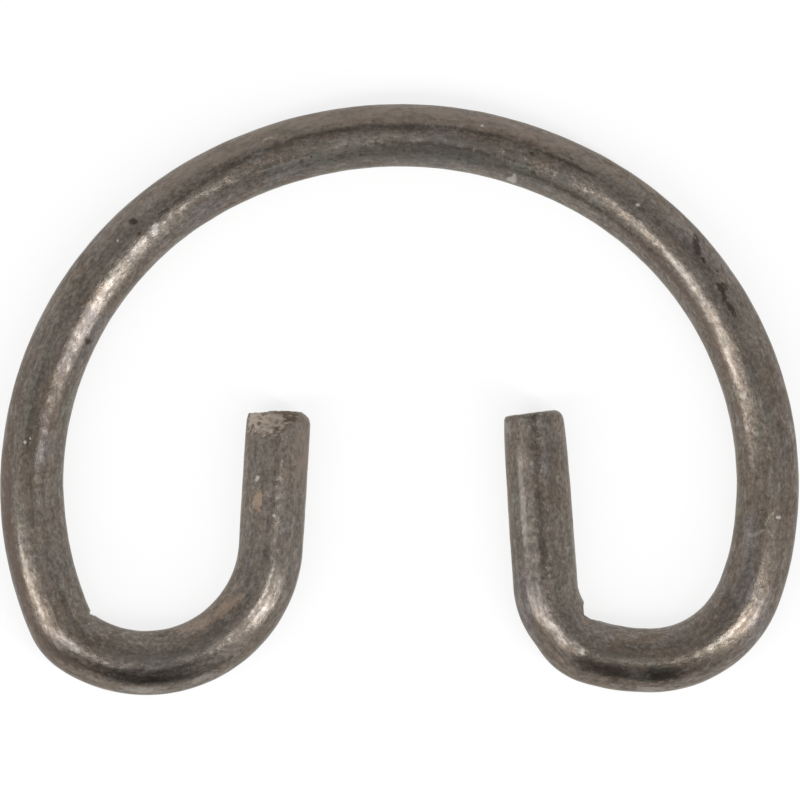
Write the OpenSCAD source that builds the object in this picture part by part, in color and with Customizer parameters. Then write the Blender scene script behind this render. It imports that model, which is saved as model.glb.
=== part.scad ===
// Round-wire retaining ring with a hooked tang at each end.
// It lies flat. The middle of the ring is the origin and the middle of the wire is at
// z = 0. +Z is the axis of the bore that it fits, and +Y points to the crown.
// The wire is written as its bends, one after another, from the crown to each tang.
// Every bend radius is taken to the middle of the wire.

/* [Wire] */
// Diameter of the wire
wire_d = 1.6; // [1.2:0.05:1.8]

/* [Arc] */
// Distance from the middle of the ring to the crown, at the middle of the wire
crown_rise = 9.35; // [8.5:0.05:10.5]
// Bend radius over the crown, which is a little flatter than the flanks
crown_r = 10.1; // [9:0.1:12]
// Angle of the crown on the left of its middle
left_crown_angle = 29.5; // [20:0.5:35]
// Angle of the crown on the right of its middle
right_crown_angle = 29; // [20:0.5:35]
// Bend radius down both flanks
flank_r = 8.8; // [8:0.1:10]
// Angle of the left flank
left_flank_angle = 84; // [75:0.5:88]
// Angle of the right flank
right_flank_angle = 72; // [65:0.5:78]

/* [Left hook] */
// Bend radius of the kink between the flank and the hook
left_kink_r = 1.2; // [1:0.05:2.5]
// Angle of the kink
left_kink_angle = 33; // [25:0.5:40]
// Bend radius of the hook
left_hook_r = 3.2; // [2.6:0.1:3.8]
// Angle of the hook
left_hook_angle = 120; // [110:0.5:125]
// Length of the straight tang
left_tang_length = 3.45; // [1.5:0.05:4.5]

/* [Right hook] */
// Bend radius where the flank starts to turn in
right_turn_r = 6; // [5:0.1:8]
// Angle of that turn
right_turn_angle = 11.5; // [5:0.5:18]
// Bend radius of the hook
right_hook_r = 2.7; // [2.2:0.1:3.4]
// Angle of the hook
right_hook_angle = 65.5; // [58:0.5:72]
// Bend radius along the bottom of the hook
right_base_r = 4.8; // [3.5:0.1:6]
// Angle of the bottom
right_base_angle = 20; // [12:0.5:26]
// Bend radius of the lower blunt corner
right_low_corner_r = 1.1; // [1:0.05:2]
// Angle of the lower corner
right_low_corner_angle = 36; // [28:0.5:44]
// Length of the flat between the two corners
right_flat_length = 0.4; // [0.2:0.05:1]
// Bend radius of the upper blunt corner
right_high_corner_r = 1.9; // [1:0.05:3]
// Angle of the upper corner
right_high_corner_angle = 32; // [24:0.5:40]
// Length of the straight tang
right_tang_length = 4.45; // [2.5:0.05:5.5]

/* [Cut ends] */
// Rounding of the rim of each cut end
rim_round = 0.25; // [0.1:0.05:0.4]
// Distance from the left tip to where its slanted shear face crosses the wire's middle
left_shear_setback = 0.09; // [0:0.01:0.3]
// Tilt of that face from a square cut
left_shear_tilt = 33; // [10:1:45]
// Way that it faces: 0 is out of the ring's bends, and 90 is straight up
left_shear_turn = 108; // [90:1:150]
// Tilt of the right end from a square cut
right_cut_tilt = 4; // [0:0.5:12]

/* [Tool marks] */
// Depth of the forming tool's corner in the inside of the left kink
left_bite = 0.05; // [0.02:0.01:0.1]
// Angle of the tool's corner there
left_bite_angle = 138; // [110:1:144]
// Depth of the forming tool's corner in the inside of the right hook's flat
right_bite = 0.16; // [0.05:0.01:0.25]
// Angle of the tool's corner there
right_bite_angle = 114; // [90:1:130]

/* [Hidden] */
$fn = 96;
steel = [0.36, 0.335, 0.31];
wire_r = wire_d / 2;
// Where two bends meet they stop this far apart, and a ball just wider than the wire
// joins them. It is far too slight to see or feel.
joint_gap = 0.02;
joint_r = wire_r + 0.004;
// Side of the blocks that cut the ends
block = 3 * wire_d;
// Length of each side of the tool's corner, past where it leaves the wire
bite_side = wire_r;

// Each module below works in a frame where the wire runs along +X and bends towards -Y.

// Places its children where a bend ends
module past_bend(r, angle) {
    translate([0, -r, 0]) rotate([0, 0, -angle]) translate([0, r, 0]) children();
}

// A whole ring of wire that passes through the frame
module ring(r) {
    translate([0, -r, 0]) rotate_extrude() translate([r, 0]) circle(d = wire_d);
}

// Everything ahead of the frame, for cutting a ring of radius r off square
module ahead(r) {
    translate([0, -2 * r - wire_d, -wire_d]) cube([r + wire_d, 2 * (r + wire_d), 2 * wire_d]);
}

// The ball that joins what ends at the frame to what starts there
module joint() {
    rotate([0, 90, 0]) sphere(r = joint_r);
}

// One bend, and what follows it
module bend(r, angle) {
    joint();
    difference() {
        ring(r);
        mirror([1, 0, 0]) ahead(r);
        past_bend(r, angle) translate([-joint_gap, 0, 0]) ahead(r);
    }
    past_bend(r, angle) children();
}

// A straight run, and what follows it
module straight(length) {
    joint();
    rotate([0, 90, 0]) cylinder(d = wire_d, h = length - joint_gap);
    translate([length, 0, 0]) children();
}

// The straight end of the wire, with a rounded rim and a slanted cut
module tang(length, setback, tilt, turn) {
    joint();
    difference() {
        rotate([0, 90, 0])
            rotate_extrude() {
                square([wire_r, length - rim_round]);
                square([wire_r - rim_round, length]);
                translate([wire_r - rim_round, length - rim_round])
                    intersection() {
                        circle(r = rim_round);
                        square(rim_round);
                    }
            }
        translate([length - setback, 0, 0])
            rotate([turn, 0, 0])
                rotate([0, 0, tilt])
                    translate([0, -block / 2, -block / 2])
                        cube(block);
    }
}

// The wedge that the forming tool's corner takes out of the inside of a bend
module tool_corner(depth, corner_angle) {
    half = corner_angle / 2;
    translate([0, depth - wire_r, -wire_r])
        linear_extrude(wire_d)
            polygon([[0, 0],
                     [bite_side * sin(half), -bite_side * cos(half)],
                     [-bite_side * sin(half), -bite_side * cos(half)]]);
}

// The crown, from the top of one flank to the top of the other
module crown() {
    difference() {
        ring(crown_r);
        mirror([1, 0, 0])
            past_bend(crown_r, left_crown_angle) translate([-joint_gap, 0, 0]) ahead(crown_r);
        past_bend(crown_r, right_crown_angle) translate([-joint_gap, 0, 0]) ahead(crown_r);
    }
}

// The left side, mirrored to run the same way as the right
module left_side() {
    past_bend(crown_r, left_crown_angle)
        bend(flank_r, left_flank_angle)
            bend(left_kink_r, left_kink_angle)
                bend(left_hook_r, left_hook_angle)
                    tang(left_tang_length, left_shear_setback, left_shear_tilt, left_shear_turn);
}

module left_tool_mark() {
    past_bend(crown_r, left_crown_angle)
        past_bend(flank_r, left_flank_angle)
            past_bend(left_kink_r, left_kink_angle / 2)
                tool_corner(left_bite, left_bite_angle);
}

module right_side() {
    past_bend(crown_r, right_crown_angle)
        bend(flank_r, right_flank_angle)
            bend(right_turn_r, right_turn_angle)
                bend(right_hook_r, right_hook_angle)
                    bend(right_base_r, right_base_angle)
                        bend(right_low_corner_r, right_low_corner_angle)
                            straight(right_flat_length)
                                bend(right_high_corner_r, right_high_corner_angle)
                                    tang(right_tang_length, 0, right_cut_tilt, 0);
}

module right_tool_mark() {
    past_bend(crown_r, right_crown_angle)
        past_bend(flank_r, right_flank_angle)
            past_bend(right_turn_r, right_turn_angle)
                past_bend(right_hook_r, right_hook_angle)
                    past_bend(right_base_r, right_base_angle)
                        past_bend(right_low_corner_r, right_low_corner_angle)
                            translate([right_flat_length / 2, 0, 0])
                                tool_corner(right_bite, right_bite_angle);
}

module retaining_ring() {
    color(steel)
        translate([0, crown_rise, 0])
            difference() {
                union() {
                    crown();
                    right_side();
                    mirror([1, 0, 0]) left_side();
                }
                right_tool_mark();
                mirror([1, 0, 0]) left_tool_mark();
            }
}

retaining_ring();
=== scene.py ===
from math import cos, hypot, pi, radians, sin, sqrt, tan

import bmesh
import bpy
from mathutils import Matrix, Vector, noise


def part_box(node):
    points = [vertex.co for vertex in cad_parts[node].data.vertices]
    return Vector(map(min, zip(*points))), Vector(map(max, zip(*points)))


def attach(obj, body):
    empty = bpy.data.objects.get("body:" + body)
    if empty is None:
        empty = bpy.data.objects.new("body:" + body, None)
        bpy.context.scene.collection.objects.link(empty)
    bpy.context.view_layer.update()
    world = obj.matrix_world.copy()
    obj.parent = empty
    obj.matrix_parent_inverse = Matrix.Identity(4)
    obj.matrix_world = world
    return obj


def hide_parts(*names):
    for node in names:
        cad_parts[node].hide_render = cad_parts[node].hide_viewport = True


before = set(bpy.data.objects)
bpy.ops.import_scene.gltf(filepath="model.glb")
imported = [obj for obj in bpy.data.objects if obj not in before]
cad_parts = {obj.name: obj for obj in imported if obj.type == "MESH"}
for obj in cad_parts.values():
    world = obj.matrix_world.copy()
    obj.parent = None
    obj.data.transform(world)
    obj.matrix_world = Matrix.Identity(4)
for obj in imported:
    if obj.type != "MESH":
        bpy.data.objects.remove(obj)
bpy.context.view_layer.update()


# ---- The wire ------------------------------------------------------------------------------
# The whole ring is one length of round spring-steel wire, drawn through a die and cropped at
# both ends. It starts here as the straight wire, in millimetres, with the crown's middle at
# x = 0. The left tang is at low x, and what ends up on the inside of the ring is at low y.

MM = 0.001
wire_r = 0.8
crown_rise = 9.35

# Each bend's radius, its angle in degrees and the straight run after it, from the crown out
left_bends = [
    (10.1, 29.5, 0),
    (8.8, 84, 0),
    (1.2, 33, 0),
    (3.2, 120, 3.48),
]
right_bends = [
    (10.1, 29, 0),
    (8.8, 72, 0),
    (6, 11.5, 0),
    (2.7, 65.5, 0),
    (4.8, 20, 0),
    (1.1, 36, 0.4),
    (1.9, 32, 4.47),
]


def bend_starts(bends):
    """How far from the crown's middle each bend starts, and where the wire ends."""
    starts = [0]
    for radius, angle, straight in bends:
        starts.append(starts[-1] + radius * radians(angle) + straight)
    return starts[:-1], starts[-1]


left_starts, left_length = bend_starts(left_bends)
right_starts, right_length = bend_starts(right_bends)

rings = 1150
sides = 72
cap_rings = 26

# Half of the wire's section, turned a full turn round the wire's axis
wire = bmesh.new()
corners = [
    wire.verts.new((-left_length, 0, 0)),
    wire.verts.new((-left_length, wire_r, 0)),
    wire.verts.new((right_length, wire_r, 0)),
    wire.verts.new((right_length, 0, 0)),
]
left_cap, wall, right_cap = (wire.edges.new(pair) for pair in zip(corners, corners[1:]))
bmesh.ops.subdivide_edges(wire, edges=[left_cap, right_cap], cuts=cap_rings)
bmesh.ops.subdivide_edges(wire, edges=[wall], cuts=rings)
bmesh.ops.spin(
    wire,
    geom=wire.verts[:] + wire.edges[:],
    cent=(0, 0, 0),
    axis=(1, 0, 0),
    angle=radians(360),
    steps=sides,
    use_merge=True,
)
bmesh.ops.remove_doubles(wire, verts=wire.verts, dist=1e-5)


# ---- The cropped ends ----------------------------------------------------------------------
# The left end was sheared from above on the inside, so that corner is a sloping torn face. The
# right end was cut nearly square. Both rims are worn round, more on one side than the other.

shear_depth = 0.57
shear_height = 0.42
left_slant = 0.12
left_torn_depth = 0.035
left_trim = 0.015
right_tilt = 3.2
right_torn_depth = 0.01
right_trim = 0.01


def ease(value, low, high):
    """0 below low, 1 above high and a smooth step between them."""
    share = min(max((value - low) / (high - low), 0), 1)
    return share * share * (3 - 2 * share)


def worn_rim(y, z, radius):
    """How far back the rim is rounded, at a place on the end's face."""
    over = min(max(hypot(y, z) - wire_r + radius, 0), radius)
    return radius - sqrt(radius ** 2 - over ** 2)


def torn_metal(seed, y, z):
    """The roughness of a torn face at a place on it, about 0."""
    return noise.fractal(Vector((seed, y, z)) * 4, 0.8, 2, 4)


def sheared_end(y, z):
    """How far back the left end's face lies: its shear or worn rim, torn and on a slant."""
    top = sqrt(max(wire_r ** 2 - y ** 2, 0))
    shear = shear_depth * (1 - ease(y, -0.1, 0.95)) * ease(z, top - shear_height, top)
    outward = ease(y / max(hypot(y, z), 0.01), 0, 0.9)
    torn = left_torn_depth * torn_metal(0, y, z)
    slant = left_slant * ease(-y, -0.2, wire_r)
    return max(shear, worn_rim(y, z, 0.05 + 0.27 * outward)) + torn + slant + left_trim


def square_end(y, z):
    """How far back the right end's face lies."""
    inward = ease(-y / max(hypot(y, z), 0.01), 0, 0.9)
    torn = right_torn_depth * torn_metal(5, y, z)
    tilt = (y + wire_r) * tan(radians(right_tilt))
    return worn_rim(y, z, 0.09 + 0.17 * inward) + tilt + torn + right_trim


# On the cropped faces this holds how far in from the rim a place is, and elsewhere 0
torn_face = wire.verts.layers.float.new("torn_face")
for v in wire.verts:
    left_face = sheared_end(v.co.y, v.co.z) - left_length
    right_face = right_length - square_end(v.co.y, v.co.z)
    if not left_face < v.co.x < right_face:
        v.co.x = min(max(v.co.x, left_face), right_face)
        v[torn_face] = wire_r - hypot(v.co.y, v.co.z)
bmesh.ops.remove_doubles(wire, verts=wire.verts, dist=1e-4)

# The right tip narrows a little towards its cut
taper_length = 1.3
tip_taper = 0.06
for v in wire.verts:
    near_tip = max(0, (v.co.x - right_length + taper_length) / taper_length)
    v.co.y *= 1 - tip_taper * near_tip ** 2


# ---- The bends -----------------------------------------------------------------------------
# The wire is bent cold round a former, one bend after another. That leaves it a little wider
# in the hooks, and the former's corner has bitten into the inside of each hook.

# Each point keeps its place on the straight wire, which the marks and the grain read
place = wire.verts.layers.float_vector.new("wire_place")
for v in wire.verts:
    v[place] = v.co

hook_spread = 0.03
for v in wire.verts:
    hooked = ease(-v.co.x, 13, 16) if v.co.x < 0 else ease(v.co.x, 16, 18)
    tip = ease(v.co.x, right_length - 3, right_length)
    v.co.y *= 1 + hook_spread * hooked * (1 - tip)


def bite(x, depth, low_half, high_half):
    """The crease that the former's corner presses into the inside of a bend.

    It ends straight on its high side, and runs out in a curve on its low side.
    """
    for v in wire.verts:
        away = v.co.x - x
        share = max(0, 1 - away / high_half) if away > 0 else max(0, 1 + away / low_half) ** 2
        if share > 0 and v.co.y < 0:
            v.co.y = max(v.co.y, -wire_r + depth * share)


left_kink_middle = left_starts[2] + left_bends[2][0] * radians(left_bends[2][1]) / 2
right_flat_middle = right_starts[6] - right_bends[5][2] / 2
bite(-left_kink_middle, depth=0.04, low_half=0.3, high_half=0.2)
bite(right_flat_middle, depth=0.17, low_half=0.75, high_half=0.27)


def bend(side, start, radius, angle):
    """Turns all of the wire past start round a former of that radius, into the ring."""
    centre = Vector((side * start, -radius, 0))
    for v in wire.verts:
        past = side * v[place].x - start
        if past > 0:
            turned = min(past / radius, angle)
            v.co.x -= side * radius * turned
            v.co = centre + Matrix.Rotation(-side * turned, 3, "Z") @ (v.co - centre)


for side, starts, bends in ((-1, left_starts, left_bends), (1, right_starts, right_bends)):
    for start, (radius, angle, _) in reversed(list(zip(starts, bends))):
        bend(side, start, radius, radians(angle))
bmesh.ops.translate(wire, verts=wire.verts, vec=(0, crown_rise, 0))
bmesh.ops.recalc_face_normals(wire, faces=wire.faces)


# ---- The worn surface ----------------------------------------------------------------------
# Drawing, bending and handling leave the wire slightly uneven: long shallow waves along it,
# small dents across it, and fine pocks in the skin.

wave_depth = 0.008
dent_depth = 0.0065
pock_depth = 0.0028

wire.normal_update()
for v in wire.verts:
    at = v[place]
    waves = noise.noise(Vector((at.x * 0.35, at.y * 1.6, at.z * 1.6)))
    dents = noise.noise(Vector((at.x * 1.7, at.y * 2.6, at.z * 2.6)) + Vector((9, 0, 0)))
    pocks = noise.noise(Vector((at.x * 5, at.y * 7, at.z * 7)) + Vector((0, 7, 0)))
    v.co += v.normal * (wave_depth * waves + dent_depth * dents + pock_depth * pocks)
bmesh.ops.scale(wire, verts=wire.verts, vec=(MM, MM, MM))

ring_mesh = bpy.data.meshes.new("bent_wire")
wire.to_mesh(ring_mesh)
wire.free()
ring_mesh.shade_smooth()
ring = bpy.data.objects.new("bent_wire", ring_mesh)
bpy.context.scene.collection.objects.link(ring)


# ---- The steel's finish --------------------------------------------------------------------
# Bare drawn spring steel gone dull. A thin skin of grey-brown oxide lies over the metal in
# mottled grains, drawn out along the wire, and is rubbed through to brighter steel in places.

steel = bpy.data.materials.new("drawn_steel")
steel.use_nodes = True
nodes, links = steel.node_tree.nodes, steel.node_tree.links
skin = nodes["Principled BSDF"]
wire_place = nodes.new("ShaderNodeAttribute")
wire_place.attribute_name = "wire_place"


def feed(socket, value):
    """Links a node's output to a socket, or sets the socket if the value is plain."""
    if isinstance(value, bpy.types.NodeSocket):
        links.new(value, socket)
    else:
        socket.default_value = value


def grain(along, across, detail=3, roughness=0.6, offset=0):
    """Noise with so many blotches a millimetre along the wire and across it."""
    spread = nodes.new("ShaderNodeMapping")
    feed(spread.inputs["Vector"], wire_place.outputs["Vector"])
    spread.inputs["Scale"].default_value = (along, across, across)
    spread.inputs["Location"].default_value = (offset, offset, offset)
    node = nodes.new("ShaderNodeTexNoise")
    feed(node.inputs["Vector"], spread.outputs["Vector"])
    node.inputs["Scale"].default_value = 1
    node.inputs["Detail"].default_value = detail
    node.inputs["Roughness"].default_value = roughness
    return node.outputs["Fac"]


def between(value, low, high, to_low=0, to_high=1):
    """A smooth step: to_low where the value is at low, and to_high where it is at high."""
    node = nodes.new("ShaderNodeMapRange")
    node.interpolation_type = "SMOOTHSTEP"
    feed(node.inputs["Value"], value)
    node.inputs["From Min"].default_value = low
    node.inputs["From Max"].default_value = high
    node.inputs["To Min"].default_value = to_low
    node.inputs["To Max"].default_value = to_high
    return node.outputs["Result"]


def maths(operation, first, second):
    """One sum, of two numbers or two nodes' outputs."""
    node = nodes.new("ShaderNodeMath")
    node.operation = operation
    feed(node.inputs[0], first)
    feed(node.inputs[1], second)
    return node.outputs[0]


def blend_colour(share, first, second, mode="MIX"):
    """The first colour, with so large a share of the second laid over it."""
    node = nodes.new("ShaderNodeMix")
    node.data_type = "RGBA"
    node.blend_type = mode
    feed(node.inputs["Factor"], share)
    feed(node.inputs["A"], first)
    feed(node.inputs["B"], second)
    return node.outputs["Result"]


grey_brown = (0.156, 0.133, 0.113, 1)
brown = (0.142, 0.114, 0.091, 1)
olive_grey = (0.148, 0.137, 0.113, 1)
violet_grey = (0.162, 0.141, 0.130, 1)
# This dark scale's colour also paints shade in the marks further on
dark_scale_and_shade = (0.045, 0.036, 0.029, 1)
# Bare steel's colour also paints highlights in the marks further on
bare_steel_and_highlight = (0.34, 0.31, 0.28, 1)

clouds = grain(0.35, 0.9, 3, 0.6)
tints = grain(0.5, 1.2, 3, 0.6, 20)
mottle = grain(1.8, 3.2, 4, 0.7, 40)
streaks = grain(0.4, 6, 4, 0.65, 60)
fine = grain(9, 12, 3, 0.75, 80)
flecks = grain(4, 7, 3, 0.7, 100)
scuffs = grain(4.5, 9, 1, 0.5, 120)

colour = blend_colour(between(clouds, 0.40, 0.58), brown, grey_brown)
colour = blend_colour(between(tints, 0.50, 0.68), colour, violet_grey)
colour = blend_colour(between(tints, 0.46, 0.30), colour, olive_grey)
colour = blend_colour(1, colour, between(mottle, 0.3, 0.7, 0.84, 1.16), "MULTIPLY")
colour = blend_colour(1, colour, between(streaks, 0.32, 0.68, 0.86, 1.14), "MULTIPLY")
colour = blend_colour(1, colour, between(fine, 0.3, 0.7, 0.69, 1.31), "MULTIPLY")
colour = blend_colour(between(flecks, 0.38, 0.26, 0, 0.45), colour, dark_scale_and_shade)
colour = blend_colour(between(scuffs, 0.56, 0.70, 0, 0.3), colour, bare_steel_and_highlight)

# The scuffed grains are smoother as well as brighter
roughness = between(maths("ADD", mottle, scuffs), 0.8, 1.2, 0.33, 0.26)

grain_depth = 0.008
bump = nodes.new("ShaderNodeBump")
bump.inputs["Strength"].default_value = 1
bump.inputs["Distance"].default_value = grain_depth * MM
feed(bump.inputs["Height"], grain(4, 8, 2, 0.5, 180))
feed(skin.inputs["Normal"], bump.outputs["Normal"])


# ---- The marks on the steel ----------------------------------------------------------------
# Lines that the die left along the wire, corroded pits, specks of chalky deposit and a few
# stains of rust, with some painted shade and painted highlights among them. Each is at its
# place on the straight wire, on the side that lies uppermost.

# The marks' edges wander by this, about 0
ragged = maths("ADD", grain(3, 8, 3, 0.6, 140), grain(9, 9, 2, 0.6, 160))
ragged = maths("SUBTRACT", ragged, 1)

lowest_mark = -0.1
places = enumerate(ring_mesh.attributes["wire_place"].data)
upper_places = [(i, at.vector) for i, at in places if at.vector.z > lowest_mark]

# How many half sizes from its middle a film is surely gone
far = 3


def film(name, spots, raggedness=2):
    """Where a thin film or line lies. It is stored on the mesh.

    Each spot is its middle along the wire and out, half its length, half its width, and its
    tilt in degrees.
    """
    reach = [far] * len(ring_mesh.vertices)
    for along, out, half_length, half_width, tilt in spots:
        turn = Matrix.Rotation(radians(-tilt), 2)
        for i, at in upper_places:
            if abs(at.x - along) < far * half_length:
                x, y = turn @ Vector((at.x - along, at.y - out))
                reach[i] = min(reach[i], hypot(x / half_length, y / half_width))
    ring_mesh.attributes.new(name, "FLOAT", "POINT").data.foreach_set("value", reach)
    node = nodes.new("ShaderNodeAttribute")
    node.attribute_name = name
    edge = maths("MULTIPLY", ragged, raggedness)
    return between(maths("ADD", node.outputs["Fac"], edge), 1.3, 0.5)


def specks(spots, raggedness=1.2):
    """Where any of the small round spots is: each one's middle along and out, and radius."""
    whole = 0
    for along, out, radius in spots:
        away = nodes.new("ShaderNodeVectorMath")
        away.operation = "DISTANCE"
        feed(away.inputs[0], wire_place.outputs["Vector"])
        away.inputs[1].default_value = (along, out, sqrt(wire_r ** 2 - out ** 2))
        edge = maths("MULTIPLY", ragged, raggedness * radius)
        share = between(maths("ADD", away.outputs["Value"], edge), 1.3 * radius, 0.5 * radius)
        whole = maths("MAXIMUM", whole, share)
    return whole


# Thin films over the steel. The dark one is painted shade, which dims the steel's shine in the
# hooks and along the crown. The grey one is a grey-green film in the hooks, and partly painted
# shade as well
brown_film = film("brown_film", [
    (-1.2, 0.55, 7.0, 0.26, 0), (-27.8, 0.62, 0.9, 0.20, 0),
])
red_film = film("red_film", [
    (-15.9, 0.62, 2.9, 0.14, 0), (-18.7, 0.49, 1.1, 0.13, 9), (8.9, -0.50, 3.8, 0.09, 0),
])
green_film = film("green_film", [(0.3, -0.32, 4.6, 0.36, 0)])
# Grey-green film in the hooks, partly painted shade that dims their shine
grey_film_and_shade = film("grey_film_and_shade", [(-21.0, 0.0, 1.5, 0.25, 0), (21.4, 0.02, 0.9, 0.20, 0)])
die_lines = film("die_lines", [
    (-1.8, 0.24, 1.7, 0.06, 0), (-4.2, 0.15, 1.2, 0.06, 4), (-6.0, 0.06, 1.2, 0.05, 2),
    (1.8, 0.26, 2.0, 0.05, 0), (0.2, 0.19, 0.6, 0.08, 0), (4.4, 0.22, 0.9, 0.05, 0),
    (1.2, -0.22, 1.9, 0.06, 0), (5.0, -0.46, 2.4, 0.05, 0), (-3.3, -0.20, 0.8, 0.05, 0),
    (26.2, 0.00, 2.3, 0.15, 0),
], 3)
stains = film("stains", [
    (17.75, -0.47, 0.22, 0.12, 0), (-26.0, -0.10, 0.25, 0.07, 0), (-25.3, -0.10, 0.22, 0.08, 0),
    (-1.6, -0.42, 0.16, 0.07, 0), (-6.2, 0.05, 0.60, 0.03, 0), (-12.9, 0.12, 0.70, 0.10, 0),
    (-20.9, 0.42, 0.50, 0.06, 0), (20.35, 0.38, 0.40, 0.12, -10), (25.0, -0.06, 0.50, 0.10, 0),
    (-24.4, -0.36, 0.14, 0.06, 0), (-21.15, -0.66, 0.20, 0.05, 0), (-18.85, -0.03, 0.12, 0.07, 0),
    (-19.1, 0.03, 0.10, 0.05, 0), (1.2, -0.22, 1.9, 0.05, 0), (-18.9, 0.46, 0.9, 0.10, 8),
])
# Painted shade: darker where the steel's shine is dimmed, in the hooks and along the crown
painted_shade = film("painted_shade", [
    (-21.2, 0.46, 1.5, 0.14, -4), (-20.6, 0.16, 1.5, 0.16, 0), (20.3, 0.28, 0.5, 0.28, 0),
    (21.75, 0.26, 0.7, 0.28, 0), (0.8, -0.26, 2.4, 0.20, 0), (19.9, 0.12, 0.4, 0.10, 0),
    (2.6, -0.12, 2.5, 0.12, 0), (-3.2, -0.15, 1.7, 0.10, 0), (-19.4, 0.20, 0.6, 0.10, 8),
])
pits = film("pits", [
    (-10.4, -0.58, 0.12, 0.11, 0), (-7.2, 0.36, 0.12, 0.08, -35), (8.14, 0.48, 0.30, 0.11, -33),
    (9.40, 0.32, 0.24, 0.14, -15), (9.86, 0.25, 0.24, 0.07, 0),
], 1.7)
small_pits = specks([
    (-7.30, 0.02, 0.05), (8.48, 0.38, 0.05), (8.54, 0.34, 0.04), (8.92, 0.47, 0.03),
    (9.02, 0.42, 0.03), (9.60, 0.20, 0.07), (3.40, 0.10, 0.07), (-2.35, -0.30, 0.03),
])
chalk_specks = specks([
    (-27.23, -0.42, 0.05), (-27.17, -0.46, 0.05), (-26.28, 0.04, 0.04), (-13.42, 0.22, 0.04),
    (-13.30, 0.10, 0.03), (-7.80, 0.27, 0.04), (-6.93, -0.19, 0.10), (-6.84, -0.12, 0.08),
    (2.03, 0.45, 0.04), (6.38, 0.21, 0.05), (15.28, 0.31, 0.04), (15.28, 0.25, 0.04),
    (22.32, 0.07, 0.07), (-22.88, 0.14, 0.04),
], 1.6)
# Chalky haze. The patch at -13.6 on the left flank and the one at the right tip are painted
# highlights
chalk_haze_and_glints = film("chalk_haze_and_glints", [
    (-13.6, -0.22, 0.20, 0.06, 0), (-3.3, 0.45, 0.30, 0.04, 0), (13.2, 0.70, 0.25, 0.05, 0),
    (14.55, 0.28, 0.18, 0.04, 0), (15.72, -0.16, 0.16, 0.04, -50), (15.83, -0.42, 0.06, 0.12, 0),
    (22.45, 0.03, 0.25, 0.11, 0), (-21.9, 0.65, 0.30, 0.08, 0), (-20.6, 0.68, 0.50, 0.07, 0),
    (20.6, 0.70, 0.30, 0.08, 0), (28.35, 0.68, 0.20, 0.07, 0),
])
chalk_smear = film("chalk_smear", [
    (3.15, -0.58, 0.06, 0.06, 0), (3.17, -0.68, 0.10, 0.09, 0), (3.10, -0.69, 0.14, 0.06, 20),
], 1)
rust_stains = film("rust_stains", [(-26.66, -0.41, 0.27, 0.11, 0)], 3.5)
pale_rust = film("pale_rust", [(-23.4, -0.46, 0.60, 0.15, -9), (-22.5, -0.58, 0.60, 0.12, -9)])
# Steel rubbed bare and brighter, laid along the cores of the highlights: partly painted highlights
rubbed_and_highlight = film("rubbed_and_highlight", [
    (-24.6, 0.15, 0.60, 0.04, 0), (-23.9, 0.30, 0.30, 0.05, -10), (-18.5, 0.10, 0.40, 0.04, 0),
    (-18.88, 0.15, 0.08, 0.06, 0), (-17.5, 0.32, 0.40, 0.05, 3), (-16.2, 0.38, 0.70, 0.05, 0),
    (-8.9, -0.28, 0.50, 0.07, 0), (8.2, -0.25, 0.90, 0.06, -3), (11.1, -0.37, 0.60, 0.05, 0),
    (12.07, -0.29, 0.10, 0.05, -20), (12.6, -0.42, 0.16, 0.04, -15),
    (12.95, -0.43, 0.10, 0.04, 0), (18.4, 0.14, 0.80, 0.04, -5), (23.2, 0.18, 0.40, 0.07, 18),
    (26.5, 0.43, 1.50, 0.07, 0), (20.93, 0.37, 0.13, 0.14, 0),
])

rust_brown = (0.38, 0.27, 0.19, 1)
# Chalk's white also paints a few highlights in the chalky haze
chalk_and_glint_white = (0.60, 0.58, 0.54, 1)
pit_brown = (0.034, 0.021, 0.014, 1)
film_brown = (0.225, 0.183, 0.150, 1)
film_red = (0.120, 0.089, 0.070, 1)
film_green = (0.134, 0.133, 0.115, 1)
# The grey film's colour is partly painted shade
grey_and_shade = (0.128, 0.125, 0.110, 1)

# The marks lie over one another in this order, each with its strength and colour
colour = blend_colour(
    maths("MULTIPLY", brown_film, between(mottle, 0.35, 0.6, 0.35, 0.85)), colour, film_brown
)
all_pits = maths("MAXIMUM", pits, small_pits)
# Of these, the dark film is painted shade, the grey film partly painted shade, and the rubbed steel
# and the chalky haze partly painted highlights
for mark, strength, mark_colour in (
    (red_film, 0.7, film_red),
    (green_film, 0.55, film_green),
    (grey_film_and_shade, 0.45, grey_and_shade),
    (die_lines, 0.5, dark_scale_and_shade),
    (stains, 0.35, dark_scale_and_shade),
    (painted_shade, 0.5, dark_scale_and_shade),
    (rust_stains, 0.66, rust_brown),
    (pale_rust, 0.4, rust_brown),
    (rubbed_and_highlight, 0.45, bare_steel_and_highlight),
    (all_pits, 0.82, pit_brown),
    (chalk_haze_and_glints, 0.2, chalk_and_glint_white),
    (chalk_specks, 0.6, chalk_and_glint_white),
    (chalk_smear, 0.4, chalk_and_glint_white),
):
    colour = blend_colour(maths("MULTIPLY", mark, strength), colour, mark_colour)

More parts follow.
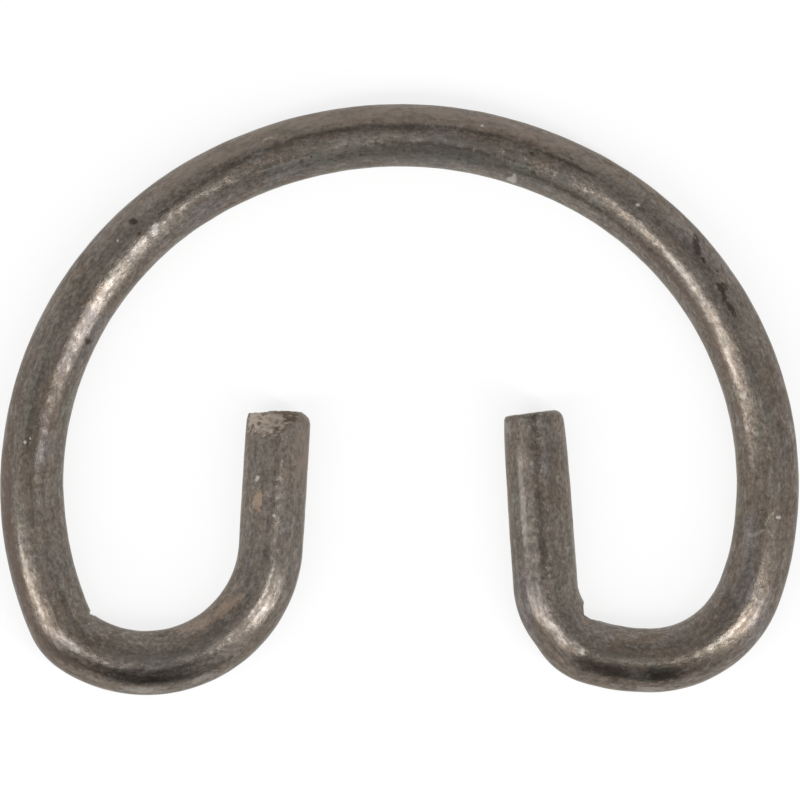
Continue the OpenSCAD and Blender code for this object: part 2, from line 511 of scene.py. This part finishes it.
# The sheared face is fresher metal, torn into warm and dark streaks. It is dark along its rim
# and at the very end of the wire. It is painted lighter on its inner side and darker on its
# outer side, as light falls on it
torn_steel = (0.37, 0.31, 0.26, 1)
torn_brown = (0.100, 0.074, 0.055, 1)
wire_axes = nodes.new("ShaderNodeSeparateXYZ")
feed(wire_axes.inputs["Vector"], wire_place.outputs["Vector"])
cropped_faces = nodes.new("ShaderNodeAttribute")
cropped_faces.attribute_name = "torn_face"
torn_inset = cropped_faces.outputs["Fac"]
sheared = maths("LESS_THAN", wire_axes.outputs["X"], 0)
sheared = maths("MULTIPLY", sheared, between(wire_axes.outputs["Y"], 0.6, 0.4))
torn = maths("MULTIPLY", sheared, between(torn_inset, 0, 0.02))
torn_rim = between(maths("ADD", torn_inset, maths("MULTIPLY", ragged, 0.3)), 0.10, 0.04)
torn_foot = between(wire_axes.outputs["X"], 0.13 - left_length, 0.07 - left_length)
torn_rim = maths("MAXIMUM", torn_rim, torn_foot)
torn_streaks = grain(7, 3.5, 3, 0.7, 207)
# Painted light: the torn face is lighter on its inner side and darker on its outer side
painted_outer_shade = between(wire_axes.outputs["Y"], -0.6, 0.6, -0.05, 0.14)
torn_light = maths("SUBTRACT", torn_streaks, painted_outer_shade)
torn_colour = blend_colour(between(torn_light, 0.32, 0.56), torn_brown, torn_steel)
torn_colour = blend_colour(maths("MULTIPLY", torn_rim, 0.8), torn_colour, torn_brown)
colour = blend_colour(torn, colour, torn_colour)
feed(skin.inputs["Base Color"], colour)

# The brown and green films and the pits are rougher. Rust and chalk hardly shine as metal
roughness = maths("ADD", roughness, maths("MULTIPLY", maths("MAXIMUM", brown_film, all_pits), 0.12))
roughness = maths("ADD", roughness, maths("MULTIPLY", green_film, 0.2))
feed(skin.inputs["Roughness"], roughness)
dull = maths("MAXIMUM", rust_stains, maths("MULTIPLY", pale_rust, 0.6))
dull = maths("MAXIMUM", dull, chalk_specks)
dull = maths("MAXIMUM", dull, maths("MULTIPLY", green_film, 0.35))
feed(skin.inputs["Metallic"], between(dull, 0, 1, 0.84, 0.2))
skin.inputs["Specular Tint"].default_value = (0.72, 0.70, 0.67, 1)

ring_mesh.materials.append(steel)
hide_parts("retaining_ring")
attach(ring, "root")

# The steel mirrors the tent and the table, and not the ring's own other limbs
ring.visible_glossy = False


# ---- The table -----------------------------------------------------------------------------
# A plain table that the ring lies flat on. Its paper is grey and glows only where it is looked
# at, straight on or in the steel: it shows as white, and keeps the soft shadow under the wire.

table_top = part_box("retaining_ring")[0].z
table_half = 1.5
table = bmesh.new()
bmesh.ops.create_grid(table, x_segments=1, y_segments=1, size=table_half)
bmesh.ops.translate(table, verts=table.verts, vec=(0, 0, table_top))
table_mesh = bpy.data.meshes.new("table")
table.to_mesh(table_mesh)
table.free()
floor = bpy.data.objects.new("table", table_mesh)
bpy.context.scene.collection.objects.link(floor)

white = bpy.data.materials.new("white_table")
white.use_nodes = True
nodes, links = white.node_tree.nodes, white.node_tree.links
paper = nodes["Principled BSDF"]
paper.inputs["Base Color"].default_value = (0.22, 0.22, 0.22, 1)
paper.inputs["Roughness"].default_value = 1
paper.inputs["Specular IOR Level"].default_value = 0


def seen_in_full():
    """Two shares: what is looked at, straight on or mirrored, and what is only mirrored."""
    path = nodes.new("ShaderNodeLightPath")
    mirrored = maths("MAXIMUM", path.outputs["Is Glossy Ray"], path.outputs["Is Transmission Ray"])
    return maths("MAXIMUM", path.outputs["Is Camera Ray"], mirrored), mirrored


seen, mirrored = seen_in_full()
paper.inputs["Emission Color"].default_value = (1, 1, 1, 1)
glow = maths("ADD", maths("MULTIPLY", seen, 0.8), maths("MULTIPLY", mirrored, 0.1))
feed(paper.inputs["Emission Strength"], glow)
table_mesh.materials.append(white)


# ---- The light -----------------------------------------------------------------------------
# A small white tent round the ring, with a light strip on each side of its front. The tent's
# roof is dimmer than its walls, and its open front shows in the steel as a dark band.

world = bpy.data.worlds.new("tent")
bpy.context.scene.world = world
world.use_nodes = True
nodes, links = world.node_tree.nodes, world.node_tree.links
tent = nodes["Background"]
tent.inputs["Color"].default_value = (1, 1, 1, 1)
towards = nodes.new("ShaderNodeSeparateXYZ")
feed(towards.inputs["Vector"], nodes.new("ShaderNodeTexCoord").outputs["Generated"])

# The open front and the dim roof. Both show only in what is mirrored
across = between(maths("ABSOLUTE", towards.outputs["X"], 0), 0.46, 0.16)
forward = between(towards.outputs["Y"], -0.02, -0.28)
upward = between(towards.outputs["Z"], 0.02, 0.3)
opening = maths("MULTIPLY", maths("MULTIPLY", across, forward), upward)
roof = between(towards.outputs["Z"], 0.2, 0.95, 0.03, 0.46)
dimming = maths("MAXIMUM", roof, opening)
seen, mirrored = seen_in_full()
shade = maths("SUBTRACT", 1, maths("MULTIPLY", dimming, mirrored))
feed(tent.inputs["Strength"], maths("MULTIPLY", between(seen, 0, 1, 0.45, 1), shade))


def light_strip(name, azimuth, elevation, distance, lean, width, length, radiance):
    """A strip that looks at the ring. Azimuth 0 is towards +X, and 90 towards +Y."""
    lamp = bpy.data.lights.new(name, "AREA")
    lamp.shape = "RECTANGLE"
    lamp.size, lamp.size_y = width, length
    lamp.energy = radiance * width * length * pi
    stand = bpy.data.objects.new(name, lamp)
    azimuth, elevation = radians(azimuth), radians(elevation)
    direction = Vector((
        cos(azimuth) * cos(elevation),
        sin(azimuth) * cos(elevation),
        sin(elevation),
    ))
    stand.location = direction * distance
    stand.rotation_euler = direction.to_track_quat("Z", "Y").to_euler()
    stand.rotation_euler.rotate_axis("Z", radians(lean))
    stand.visible_camera = False
    bpy.context.scene.collection.objects.link(stand)


light_strip("left_strip", 208, 49.8, 0.19, -22, 0.046, 0.22, 4.9)
light_strip("right_strip", 326.5, 49, 0.15, 8, 0.023, 0.16, 9.2)


# ---- The camera ----------------------------------------------------------------------------
# Straight above the ring with a long lens. The ring fills the width of the frame, and its
# hooks sit below the middle.

frame_width = 20.513 * MM
frame_middle = 2.564 * MM
camera_height = 0.3
camera_data = bpy.data.cameras.new("camera")
camera_data.sensor_width = 36
camera_data.lens = camera_data.sensor_width * camera_height / frame_width
camera_data.clip_start, camera_data.clip_end = 0.01, 10
camera = bpy.data.objects.new("camera", camera_data)
camera.location = (0, frame_middle, camera_height)
bpy.context.scene.collection.objects.link(camera)
bpy.context.scene.camera = camera
bpy.context.scene.view_settings.view_transform = "Standard"
